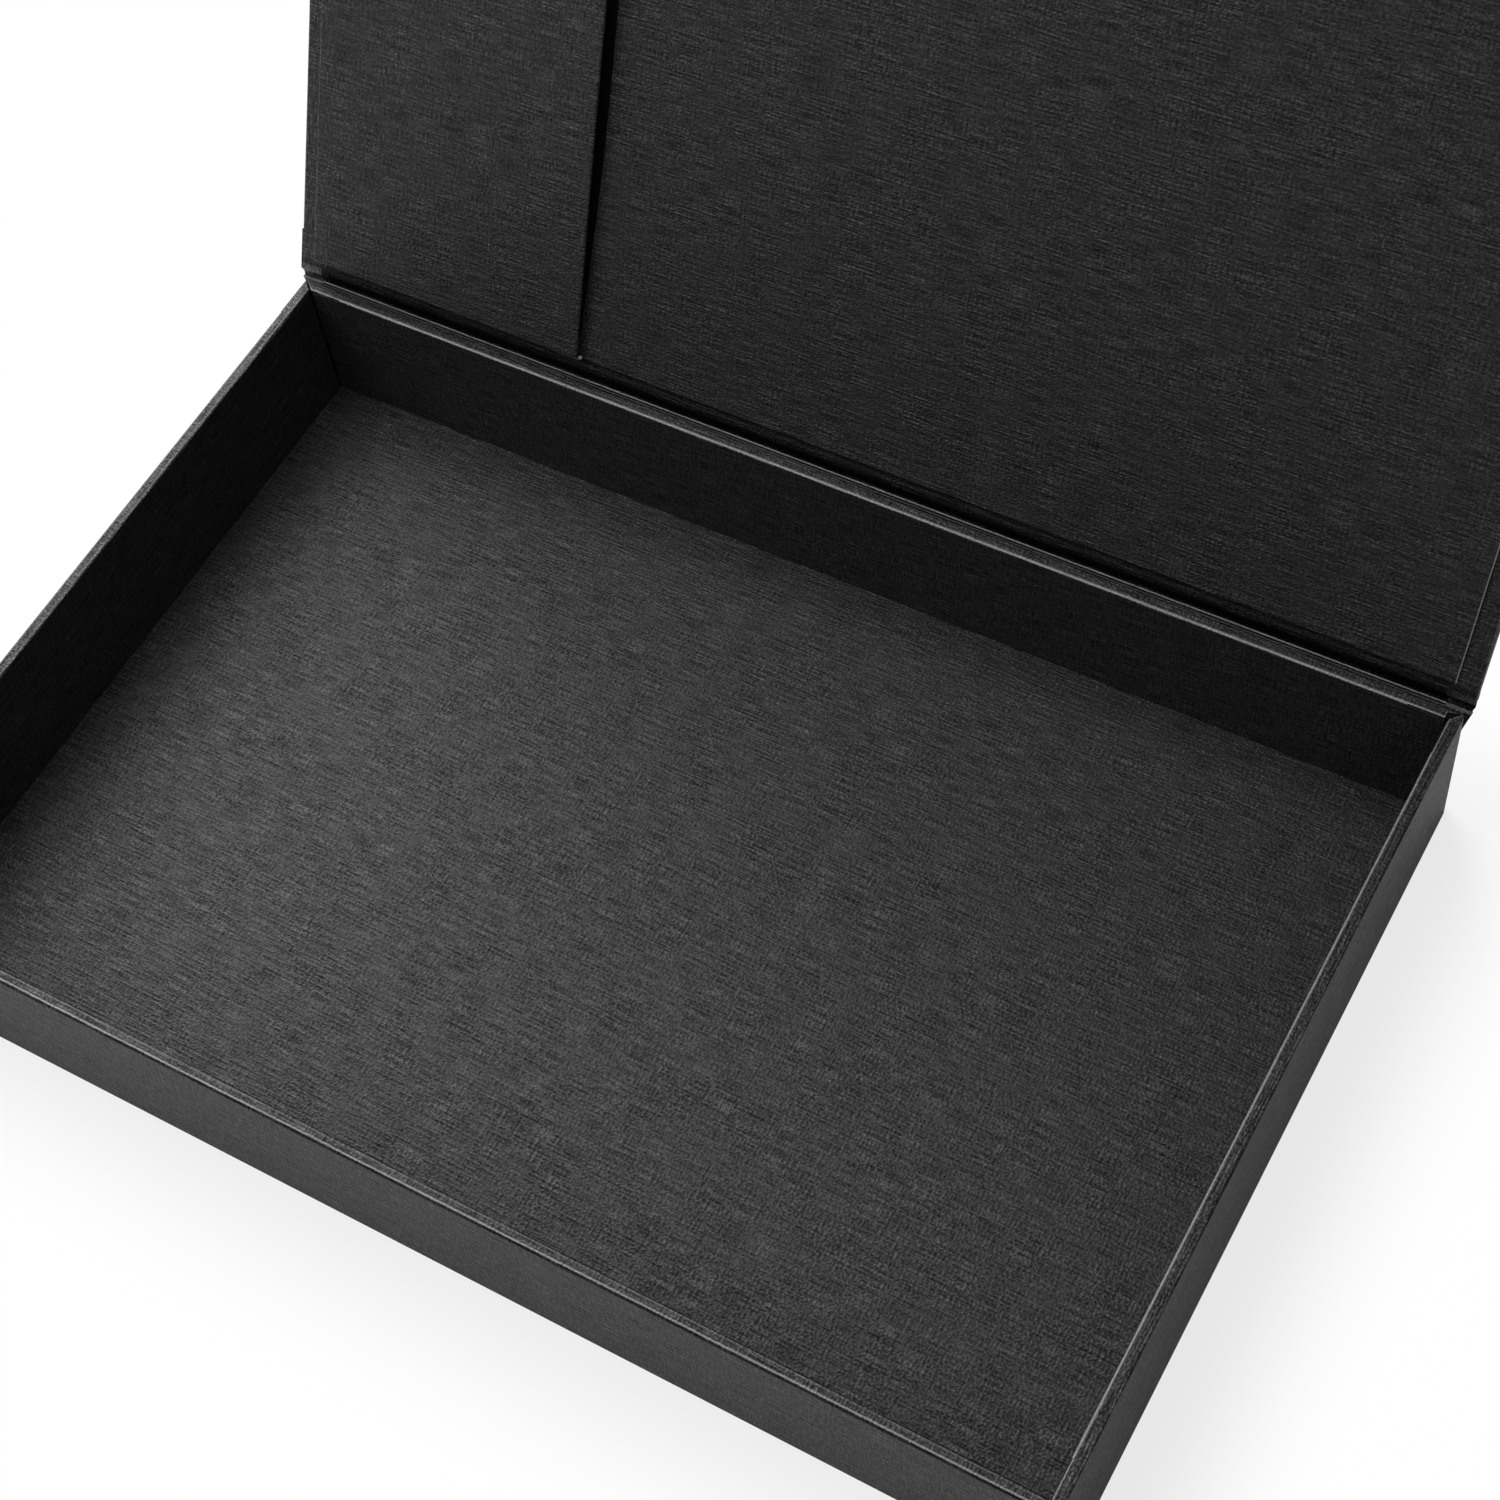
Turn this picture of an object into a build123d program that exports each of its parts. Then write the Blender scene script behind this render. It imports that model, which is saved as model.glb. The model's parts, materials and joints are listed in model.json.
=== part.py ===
from build123d import *
import math
import os

# Hinged invitation box: a tray, a lid panel behind it and a closing flap, all of grey
# board wrapped in black linen paper. Millimetres. The origin is under the middle of the
# tray, +Z is up, +X runs along the hinge and -Y is the front.

# Sheet materials
board = 1.8
wrap = 0.2
lining_card = 0.4
hinge_paper = 0.3

# Tray
tray_width = 230.0
tray_depth = 149.5
tray_height = 30.0
floor_card_margin = 0.6
corner_relief = 0.5

# Spine and lid hinge
spine_card = 0.5
hinge_strip_tail = 14.0
hinge_rise = 1.0
hinge_gap = 1.3
fold_slot = 0.8
joint_gap = 0.15
lid_open_angle = 114.5

# Lid
lid_overhang = 1.0
turn_in = 16.0
liner_clearance = 0.5

# Pocket on the lid
pocket_width = 57.8
pocket_margin = 0.2
pocket_depth = 1.2
pocket_card = 0.5
pocket_side_tab = 8.0
pocket_end_tab = 6.0
pocket_hem_width = 4.8
pocket_hem_paper = 0.3

# Closing flap
flap_gap = 0.5
flap_ground_gap = 3.0
flap_turn_in = 8.0
flap_lining_margin = 3.0
flap_fold_angle = 40.0

# Magnetic catch
catch_spacing = 140.0
catch_height = 12.0
disc_radius = 5.0
magnet_thickness = 1.2
keeper_thickness = 0.8
disc_clearance = 0.1

# Sizes that follow from the ones above
wall = board + 2 * wrap
half_width = tray_width / 2
half_depth = tray_depth / 2
floor_top = wrap + board + lining_card
spine_back = half_depth + hinge_paper + spine_card + wrap
hinge_height = tray_height + hinge_rise
fold_clearance = hinge_rise + joint_gap

lid_half_width = half_width + lid_overhang
lid_inner = hinge_rise - joint_gap
lid_outer = lid_inner - wall
lid_rear = hinge_gap
lid_front = spine_back + half_depth
liner_half_width = half_width - wall - liner_clearance
liner_rear = spine_back - half_depth + wall + liner_clearance
liner_front = lid_front - wall - liner_clearance
liner_top = lid_inner + lining_card

pocket_left = -liner_half_width + pocket_margin
pocket_right = pocket_left + pocket_width
pocket_rear = liner_rear + pocket_margin
pocket_front = liner_front - pocket_margin
pocket_under = liner_top + pocket_depth

flap_stack = wall + wrap
flap_axis = lid_front + flap_gap + flap_stack
flap_axis_height = hinge_height - lid_outer
flap_start = wall + 2 * joint_gap + wrap
flap_end = flap_axis_height - flap_ground_gap
catch_on_flap = flap_axis_height - catch_height
catch_places = [(-catch_spacing / 2, 0), (catch_spacing / 2, 0)]


def leaning_plane(y, z, lean_degrees):
    """Plane with its x along the hinge and its y up a panel that leans back from upright."""
    lean = math.radians(lean_degrees)
    inward = (0, -math.cos(lean), math.sin(lean))
    return Plane(origin=(0, y, z), x_dir=(1, 0, 0), z_dir=inward)


lid_lean = lid_open_angle - 90
lid_plane = leaning_plane(spine_back, hinge_height, lid_lean)
flap_origin = lid_plane.from_local_coords(Vector(0, flap_axis, lid_outer))
flap_plane = leaning_plane(flap_origin.Y, flap_origin.Z, lid_lean - flap_fold_angle)


def block(plane, xs, ys, zs, mode=Mode.ADD):
    """Rectangular block between two values on each of the plane's own axes."""
    with BuildSketch(plane.offset(zs[0])) as outline:
        with Locations(((xs[0] + xs[1]) / 2, (ys[0] + ys[1]) / 2)):
            Rectangle(xs[1] - xs[0], ys[1] - ys[0])
    extrude(outline.sketch, amount=zs[1] - zs[0], mode=mode)


def tray_corners(inset):
    """Corners of the tray's plan, drawn in by an inset, from the front left one round."""
    x = half_width - inset
    y = half_depth - inset
    return [Vector(-x, -y), Vector(x, -y), Vector(x, y), Vector(-x, y)]


def mitred_wall(side, near, far, low, high, relief=0.0, mode=Mode.ADD):
    """One wall of the tray between two insets, with mitred ends that can be relieved."""
    outer = tray_corners(near)
    inner = tray_corners(far)
    start, end = side, (side + 1) % 4
    along = (outer[end] - outer[start]).normalized() * relief
    points = [outer[start], outer[end], inner[end] - along, inner[start] + along]
    with BuildSketch(Plane.XY.offset(low)) as outline:
        Polygon(*[(p.X, p.Y) for p in points], align=None)
    extrude(outline.sketch, amount=high - low, mode=mode)


def save(part, name):
    """Label a finished piece and write its file."""
    part.label = name
    export_step(part, f"parts/{name}.step")


os.makedirs("parts", exist_ok=True)
front_face = Plane.XZ.offset(half_depth - wrap)
catch_on_wall = [(x, catch_height) for x, _ in catch_places]

# Tray floor: the board, the paper under it and the lining card on it
with BuildPart() as floor_board:
    x, y = half_width - wall, half_depth - wall
    block(Plane.XY, (-x, x), (-y, y), (wrap, wrap + board))
save(floor_board.part, "floor_board")

with BuildPart() as base_cover:
    x, y = half_width - wrap, half_depth - wrap
    block(Plane.XY, (-x, x), (-y, y), (0, wrap))
save(base_cover.part, "base_cover")

with BuildPart() as floor_lining:
    inset = wall + floor_card_margin
    x, y = half_width - inset, half_depth - inset
    block(Plane.XY, (-x, x), (-y, y), (wrap + board, floor_top))
save(floor_lining.part, "floor_lining")

# Tray walls: each a mitred board in a paper channel folded over its top edge
for side, side_name in enumerate(["front", "right", "back", "left"]):
    with BuildPart() as wall_board:
        mitred_wall(side, wrap, wrap + board, wrap, tray_height - wrap)
        if side_name == "front":
            with BuildSketch(front_face):
                with Locations(*catch_on_wall):
                    Circle(disc_radius + disc_clearance)
            extrude(amount=-(keeper_thickness + disc_clearance), mode=Mode.SUBTRACT)
    save(wall_board.part, f"{side_name}_wall_board")

    with BuildPart() as wall_cover:
        mitred_wall(side, 0, wall, 0, tray_height, relief=corner_relief)
        mitred_wall(side, wrap, wrap + board, wrap, tray_height - wrap, mode=Mode.SUBTRACT)
        mitred_wall(side, wrap, wall, 0, wrap, mode=Mode.SUBTRACT)
    save(wall_cover.part, f"{side_name}_wall_cover")

# Steel discs let into the front wall, under its paper
with BuildPart() as keeper_discs:
    with BuildSketch(front_face):
        with Locations(*catch_on_wall):
            Circle(disc_radius)
    extrude(amount=-keeper_thickness)
save(keeper_discs.part, "keeper_discs")

# Spine: a card glued behind the back wall, with the hinge paper between them
spine_front = half_depth + hinge_paper
strip_top = tray_height - hinge_paper

with BuildPart() as spine_board:
    x = half_width - wrap
    block(Plane.XY, (-x, x), (spine_front, spine_back - wrap), (wrap, strip_top))
save(spine_board.part, "spine_board")

with BuildPart() as spine_cover:
    block(Plane.XY, (-half_width, half_width), (spine_front, spine_back), (0, tray_height))
    x = half_width - wrap
    inside = (spine_front, spine_back - wrap)
    block(Plane.XY, (-x, x), inside, (wrap, tray_height), mode=Mode.SUBTRACT)
save(spine_cover.part, "spine_cover")

with BuildPart() as spine_hinge_strip:
    x = half_width - wrap
    tail = (tray_height - hinge_strip_tail, tray_height)
    block(Plane.XY, (-x, x), (half_depth, spine_front), tail)
    block(Plane.XY, (-x, x), (spine_front, spine_back - wrap), (strip_top, tray_height))
save(spine_hinge_strip.part, "spine_hinge_strip")

# The rounded fold of hinge paper that the lid turns about
with BuildPart() as hinge_fold:
    with BuildSketch(Plane.YZ):
        with Locations((spine_back, hinge_height)):
            Circle(hinge_rise)
            Circle(hinge_rise - hinge_paper, mode=Mode.SUBTRACT)
        with Locations((spine_back, hinge_height - hinge_rise)):
            Rectangle(fold_slot, hinge_rise, mode=Mode.SUBTRACT)
    extrude(amount=half_width - wrap, both=True)
save(hinge_fold.part, "hinge_fold")

# Lid: the board, its outer paper with turned-in sides, and the paper strips of both hinges
with BuildPart() as lid_board:
    x = lid_half_width - wrap
    block(lid_plane, (-x, x), (lid_rear, lid_front), (lid_outer + wrap, lid_inner - wrap))
save(lid_board.part, "lid_board")

with BuildPart() as lid_cover:
    x = lid_half_width
    sheet = (lid_outer, lid_outer + wrap)
    block(lid_plane, (-x, x), (joint_gap, flap_axis), sheet)
    for end in (-1, 1):
        edge = sorted((end * x, end * (x - wrap)))
        fold = sorted((end * x, end * (x - turn_in)))
        block(lid_plane, edge, (lid_rear, lid_front), (lid_outer, lid_inner))
        block(lid_plane, fold, (lid_rear, lid_front), (lid_inner - wrap, lid_inner))
save(lid_cover.part, "lid_cover")

strip_half_width = lid_half_width - turn_in
strip_layer = (lid_inner - wrap, lid_inner)

with BuildPart() as lid_hinge_strip:
    x = strip_half_width
    block(lid_plane, (-x, x), (fold_clearance, lid_rear + hinge_strip_tail), strip_layer)
save(lid_hinge_strip.part, "lid_hinge_strip")

with BuildPart() as flap_hinge_strip:
    x = strip_half_width
    reach = (lid_front - hinge_strip_tail, flap_axis - 2 * joint_gap)
    block(lid_plane, (-x, x), reach, strip_layer)
save(flap_hinge_strip.part, "flap_hinge_strip")

with BuildPart() as lid_lining:
    x = liner_half_width
    block(lid_plane, (-x, x), (liner_rear, liner_front), (lid_inner, liner_top))
save(lid_lining.part, "lid_lining")

# Pocket: a card panel on three folded tabs, open along its hemmed right edge
pocket_layer = (liner_top, pocket_under)
inner_rear = pocket_rear + pocket_end_tab
inner_front = pocket_front - pocket_end_tab
side_tab_edge = pocket_left + pocket_side_tab

with BuildPart() as pocket_panel:
    across = (pocket_left, pocket_right)
    card = (pocket_under, pocket_under + pocket_card)
    block(lid_plane, across, (pocket_rear, pocket_front), card)
save(pocket_panel.part, "pocket_panel")

pocket_tabs = {
    "pocket_side_tab": ((pocket_left, side_tab_edge), (pocket_rear, pocket_front)),
    "pocket_rear_tab": ((side_tab_edge, pocket_right), (pocket_rear, inner_rear)),
    "pocket_front_tab": ((side_tab_edge, pocket_right), (inner_front, pocket_front)),
}
for tab_name, (across, along) in pocket_tabs.items():
    with BuildPart() as pocket_tab:
        block(lid_plane, across, along, pocket_layer)
    save(pocket_tab.part, tab_name)

with BuildPart() as pocket_hem:
    across = (pocket_right - pocket_hem_width, pocket_right)
    under = (pocket_under - pocket_hem_paper, pocket_under)
    block(lid_plane, across, (inner_rear, inner_front), under)
save(pocket_hem.part, "pocket_hem")

# Closing flap: the board with its magnets, the outer paper, and the lining inside it
flap_inner = wall
board_top = wrap + board
magnet_recess = magnet_thickness + disc_clearance
magnet_places = [(x, catch_on_flap) for x, _ in catch_places]

with BuildPart() as flap_board:
    x = lid_half_width - wrap
    block(flap_plane, (-x, x), (flap_start, flap_end - wrap), (wrap, board_top))
    with BuildSketch(flap_plane.offset(board_top)):
        with Locations(*magnet_places):
            Circle(disc_radius + disc_clearance)
    extrude(amount=-magnet_recess, mode=Mode.SUBTRACT)
save(flap_board.part, "flap_board")

with BuildPart() as flap_magnets:
    with BuildSketch(flap_plane.offset(board_top)):
        with Locations(*magnet_places):
            Circle(disc_radius)
    extrude(amount=-magnet_thickness)
save(flap_magnets.part, "flap_magnets")

with BuildPart() as flap_cover:
    x = lid_half_width
    block(flap_plane, (-x, x), (2 * joint_gap, flap_end), (0, wrap))
    block(flap_plane, (-x, x), (flap_start, flap_end), (wrap, flap_inner))
    x = lid_half_width - wrap
    board_length = (flap_start, flap_end - wrap)
    block(flap_plane, (-x, x), board_length, (wrap, board_top), mode=Mode.SUBTRACT)
    x = lid_half_width - flap_turn_in
    open_length = (flap_start, flap_end - flap_turn_in)
    block(flap_plane, (-x, x), open_length, (board_top, flap_inner), mode=Mode.SUBTRACT)
save(flap_cover.part, "flap_cover")

with BuildPart() as flap_lining:
    x = lid_half_width - flap_lining_margin
    along = (flap_start, flap_end - flap_lining_margin)
    block(flap_plane, (-x, x), along, (flap_inner, flap_inner + wrap))
save(flap_lining.part, "flap_lining")
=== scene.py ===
import json
import math

import bmesh
import bpy
from bpy.props import FloatProperty, FloatVectorProperty, PointerProperty, StringProperty
from mathutils import Matrix, Vector


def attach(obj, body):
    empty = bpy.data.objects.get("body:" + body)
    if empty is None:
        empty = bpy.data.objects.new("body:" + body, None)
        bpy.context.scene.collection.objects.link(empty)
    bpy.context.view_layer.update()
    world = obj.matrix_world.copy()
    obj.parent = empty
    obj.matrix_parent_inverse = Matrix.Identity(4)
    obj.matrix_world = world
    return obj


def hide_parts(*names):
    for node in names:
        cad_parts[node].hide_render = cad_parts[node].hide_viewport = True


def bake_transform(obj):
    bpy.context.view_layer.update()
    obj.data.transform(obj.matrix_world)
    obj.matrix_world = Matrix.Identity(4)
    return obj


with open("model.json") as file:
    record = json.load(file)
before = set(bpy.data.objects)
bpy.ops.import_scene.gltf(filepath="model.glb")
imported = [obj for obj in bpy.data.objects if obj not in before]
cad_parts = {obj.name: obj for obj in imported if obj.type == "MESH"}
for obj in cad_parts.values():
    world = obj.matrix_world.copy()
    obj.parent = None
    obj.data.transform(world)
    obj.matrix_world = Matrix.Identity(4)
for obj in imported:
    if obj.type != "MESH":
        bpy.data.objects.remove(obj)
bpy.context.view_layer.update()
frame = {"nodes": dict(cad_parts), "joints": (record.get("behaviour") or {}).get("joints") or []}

bl_info = {
    "name": "Invitation box",
    "version": (1, 0, 0),
    "blender": (4, 5, 0),
    "location": "3D View > Sidebar > Invitation box",
    "description": "Dresses the invitation box's boards in folded, linen-embossed paper and card",
    "category": "Object",
}

# Shapes are worked out in millimetres and turned to metres where a mesh is made
MM = 0.001
WRAP = 0.2  # thickness of the wrapping paper
HINGE_PAPER = 0.15  # thickness of the thin paper in the groove
CARD = 0.3  # thickness of the pocket's card

# The materials' names, and the finishes of shown solids that aren't boards
WRAPPING = "Black linen wrapping paper"
LINING = "Black linen lining card"
HINGING = "Black linen hinge paper"
PAINTED_SHADE = "Near-black paper painted as shade"
BASE = "Black linen base paper"
BOARD = "Solid grey board"
STEEL = "Zinc-plated steel"
NICKEL = "Nickel-plated magnet"
FINISHES = {"base_cover": BASE, "keeper_discs": STEEL, "flap_magnets": NICKEL}


def panel_frame(joint, lean):
    """Frame of a panel that leans back from upright: x along the hinge, y up it, z into the box."""
    up = Vector((0, math.sin(lean), math.cos(lean)))
    inward = Vector((0, -math.cos(lean), math.sin(lean)))
    turned = Matrix((Vector((1, 0, 0)), up, inward)).transposed().to_4x4()
    return Matrix.Translation(Vector(joint["pos_m"])) @ turned


def local_box(node, place):
    """Lowest and highest corner of a CAD node in a panel's own frame, in millimetres."""
    back = place.inverted()
    points = [back @ v.co for v in frame["nodes"][node].data.vertices]
    low = Vector([min(p[i] for p in points) for i in range(3)]) / MM
    high = Vector([max(p[i] for p in points) for i in range(3)]) / MM
    return low, high


def joint_named(name):
    """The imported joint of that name."""
    return next(joint for joint in frame["joints"] if joint["name"] == name)


# Places of the moving panels, and sizes of the tray in millimetres
LID_LEAN = math.radians(joint_named("lid_hinge")["range_deg"][1] - 90)
FLAP_FOLD = math.radians(-joint_named("flap_hinge")["range_deg"][0])
TRAY_PLACE = Matrix.Identity(4)
LID_PLACE = panel_frame(joint_named("lid_hinge"), LID_LEAN)
FLAP_PLACE = panel_frame(joint_named("flap_hinge"), LID_LEAN - FLAP_FOLD)
LID_AXIS = Vector(joint_named("lid_hinge")["pos_m"]) / MM

HALF_WIDTH = local_box("front_wall_cover", TRAY_PLACE)[1].x
HALF_DEPTH = local_box("right_wall_cover", TRAY_PLACE)[1].y
RIM_HEIGHT = local_box("front_wall_cover", TRAY_PLACE)[1].z
FLOOR_LOW, FLOOR_HIGH = local_box("floor_lining", TRAY_PLACE)
WALL_LOW, WALL_HIGH = local_box("right_wall_cover", TRAY_PLACE)
WALL = WALL_HIGH.x - WALL_LOW.x


def length(name, description, default, **limits):
    """A length among the settings, given in millimetres."""
    limits = {key: limit * MM for key, limit in limits.items()}
    return FloatProperty(
        name=name, description=description, default=default * MM, unit="LENGTH", **limits)


class PaperSettings(bpy.types.PropertyGroup):
    """Colours and emboss of the papers."""

    wrapping: StringProperty(
        name="Wrapping paper", description="Colour of the outer paper", default="#292928")
    lining: StringProperty(
        name="Lining card", description="Colour of the lining cards and pocket", default="#2A2A2A")
    # The hinge paper is coloured darker than the wrapping, as painted shade of the hinge grooves
    hinge: StringProperty(
        name="Hinge paper", description="Colour of the hinge strips", default="#181818")
    # Colour of the painted shade in the rim's mitre gaps and the pocket's mouth
    shadow: StringProperty(
        name="Painted shade paper", description="Colour of the paper tucked in at the corners",
        default="#0B0B0C")
    # Colour of a rubbed fold, which also serves as the folds' painted highlight
    rub_and_highlight: StringProperty(
        name="Fold wear and highlight", description="Colour that a fold wears to", default="#9C9C9C")
    # The emboss's painted sheen: paper one emboss depth higher is painted this many times lighter
    thread_contrast: FloatProperty(
        name="Thread contrast", default=3.2, min=1.0, max=8.0,
        description="How many times lighter paper one emboss depth higher is")
    thread_length: length(
        "Thread length", "Length of one raised thread of the emboss", 6.0, min=0.5)
    thread_pitch: length(
        "Thread pitch", "Distance from one raised thread to the next", 0.75, min=0.1)
    emboss_depth: length("Emboss depth", "Height of the raised threads", 0.12, min=0.0)


class FoldSettings(bpy.types.PropertyGroup):
    """Sizes of the paper folds."""

    fold_radius: length(
        "Fold radius", "Outer radius of paper folded over board", 0.55, min=0.1, max=0.6)
    card_radius: length(
        "Card edge", "Rounding of a lining card's edges", 0.18, min=0.05, max=0.19)
    mitre_gap: length(
        "Mitre gap", "Opening of a rim mitre at its inner corner", 0.4, min=0.0, max=0.6)
    pocket_lift: length(
        "Pocket lift", "How far the pocket's open edge stands off in its middle", 0.9,
        min=0.0, max=3)


class StageSettings(bpy.types.PropertyGroup):
    """Camera, lamps and background."""

    camera_place: FloatVectorProperty(
        name="Camera place", description="Where the camera stands", size=3,
        default=(0.170728, -0.187541, 0.423053), subtype="TRANSLATION", unit="LENGTH")
    camera_turn: FloatVectorProperty(
        name="Camera turn", description="The camera's rotation", size=3,
        default=tuple(math.radians(a) for a in (32.67671, 6.69371, 30.07691)),
        subtype="EULER", unit="ROTATION")
    lens: FloatProperty(
        name="Lens", description="Focal length on a 36 mm sensor, in millimetres",
        default=68.065, min=20.0)
    back_light: FloatProperty(
        name="Back lamp", description="Power of the softbox behind the left side, in watts",
        default=5.8, min=0.0)
    top_light: FloatProperty(
        name="Top lamp", description="Power of the softbox over the left side, in watts",
        default=2.0, min=0.0)
    front_light: FloatProperty(
        name="Front lamp", description="Power of the softbox at the front left, in watts",
        default=1.4, min=0.0)
    fill_light: FloatProperty(
        name="Fill lamp", description="Power of the far softbox at the front right, in watts",
        default=2.4, min=0.0)
    room_light: FloatProperty(
        name="Room light", description="Strength of the pale room's light",
        default=0.08, min=0.0)
    ground: StringProperty(
        name="Ground", description="Colour of the ground", default="#F2F2F2")


def settings():
    """The scene's three groups of settings."""
    scene = bpy.context.scene
    return scene.box_papers, scene.box_folds, scene.box_stage


# Materials

def linear(code):
    """An sRGB hex colour as linear red, green, blue and alpha."""
    values = [int(code[i:i + 2], 16) / 255 for i in (1, 3, 5)]
    return [v / 12.92 if v <= 0.04045 else ((v + 0.055) / 1.055) ** 2.4 for v in values] + [1.0]


def add_node(tree, kind, options=None, inputs=None):
    """Adds a node, sets its options, and fills its inputs with values or links."""
    node = tree.nodes.new("ShaderNode" + kind)
    for name, value in (options or {}).items():
        setattr(node, name, value)
    for name, value in (inputs or {}).items():
        if isinstance(value, bpy.types.NodeSocket):
            tree.links.new(value, node.inputs[name])
        else:
            node.inputs[name].default_value = value
    return node


def new_material(name):
    """The emptied node tree of a new material of that name."""
    material = bpy.data.materials.new(name)
    material.use_nodes = True
    material.node_tree.nodes.clear()
    return material.node_tree


def maths(tree, operation, *values):
    """The result of a maths node over values or links."""
    return add_node(tree, "Math", {"operation": operation}, dict(enumerate(values))).outputs[0]


def principled(tree, inputs):
    """Ends a material's tree with a shader of these inputs."""
    shader = add_node(tree, "BsdfPrincipled", None, inputs)
    add_node(tree, "OutputMaterial", None, {"Surface": shader.outputs[0]})


def between(tree, share, low, high):
    """The colour that lies a share of the way from one colour to another."""
    return add_node(tree, "Mix", {"data_type": "RGBA"}, {
        "Factor": share, 6: low, 7: high}).outputs[2]


def own_place(tree):
    """A point's place in its object's own axes."""
    return add_node(tree, "TexCoord").outputs["Object"]


def emboss_noise(tree, place, along, across):
    """Noise about zero whose humps are so long along the sheet and so wide across it, in metres."""
    spread = add_node(tree, "VectorMath", {"operation": "MULTIPLY"},
                      {0: place, 1: (1 / along, 1 / across, 0)}).outputs[0]
    grain = add_node(tree, "TexNoise", {"noise_dimensions": "2D"},
                     {"Vector": spread, "Scale": 1.0, "Detail": 0.0}).outputs[0]
    return maths(tree, "SUBTRACT", grain, 0.5)


def linen_paper(name, colour, roughness, coordinates="UV", cross=0.5, gloss=0.32):
    """Black paper with a linen emboss: threads both ways, with painted sheen where raised and
    painted shade between.
    """
    papers = settings()[0]
    tree = new_material(name)
    place = add_node(tree, "TexCoord").outputs[coordinates]
    # The threads are drawn wider than real ones, so that they show in the render
    half = papers.thread_pitch / 2
    crumb_length, crumb_share = half * 1.35, 1.1
    long_way = emboss_noise(tree, place, papers.thread_length, half)
    cross_way = emboss_noise(tree, place, half, papers.thread_length / 2)
    crumb = emboss_noise(tree, place, crumb_length, half)
    woven = maths(tree, "MULTIPLY_ADD", cross_way, cross, long_way)
    grain = maths(tree, "MULTIPLY_ADD", crumb, crumb_share, woven)
    # The calender presses the emboss deeper in some places of the sheet than in others
    press_size = 9 * MM
    press = add_node(tree, "TexNoise", {"noise_dimensions": "2D"}, {
        "Vector": place, "Scale": 1 / press_size, "Detail": 1.0}).outputs[0]
    depth = add_node(tree, "MapRange", None, {
        "Value": press, "From Min": 0.3, "From Max": 0.7, "To Min": 0.8, "To Max": 1.2}).outputs[0]
    height = maths(tree, "MULTIPLY", grain, depth)
    # The colour is scaled with the emboss height, as painted sheen on the raised threads and
    # painted shade between them
    thread_sheen_gain = maths(tree, "POWER", papers.thread_contrast, height)
    surface = add_node(tree, "VectorMath", {"operation": "SCALE"}, {
        0: linear(colour)[:3], "Scale": thread_sheen_gain}).outputs[0]
    sheen = maths(tree, "MULTIPLY", thread_sheen_gain, gloss)
    # Fold shares above zero make the paper lighter, as rubbed wear with a painted highlight; below
    # zero they make it nearly black, as painted shade
    fold = add_node(tree, "Attribute", {"attribute_name": "fold"}).outputs["Fac"]
    rub_and_light = add_node(tree, "MapRange", None, {
        "Value": fold, "From Max": 1.0, "To Max": 0.9}).outputs[0]
    painted_shade_share = add_node(tree, "MapRange", None, {
        "Value": fold, "From Max": -1.0, "To Max": 0.95}).outputs[0]
    lighter = between(tree, rub_and_light, surface, linear(papers.rub_and_highlight))
    relief = add_node(tree, "Bump", None, {
        "Height": height, "Strength": 1.0, "Distance": papers.emboss_depth}).outputs[0]
    principled(tree, {
        "Base Color": between(tree, painted_shade_share, lighter, linear("#030303")),
        "Roughness": roughness, "IOR": 1.45, "Specular IOR Level": sheen, "Normal": relief})


def fibrous_paper(name, scale, low, high, inputs):
    """Plain paper whose colour wavers between two with its fibres."""
    tree = new_material(name)
    fibres = add_node(tree, "TexNoise", None, {
        "Vector": own_place(tree), "Scale": scale}).outputs[0]
    principled(tree, {"Base Color": between(tree, fibres, linear(low), linear(high)), **inputs})


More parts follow.
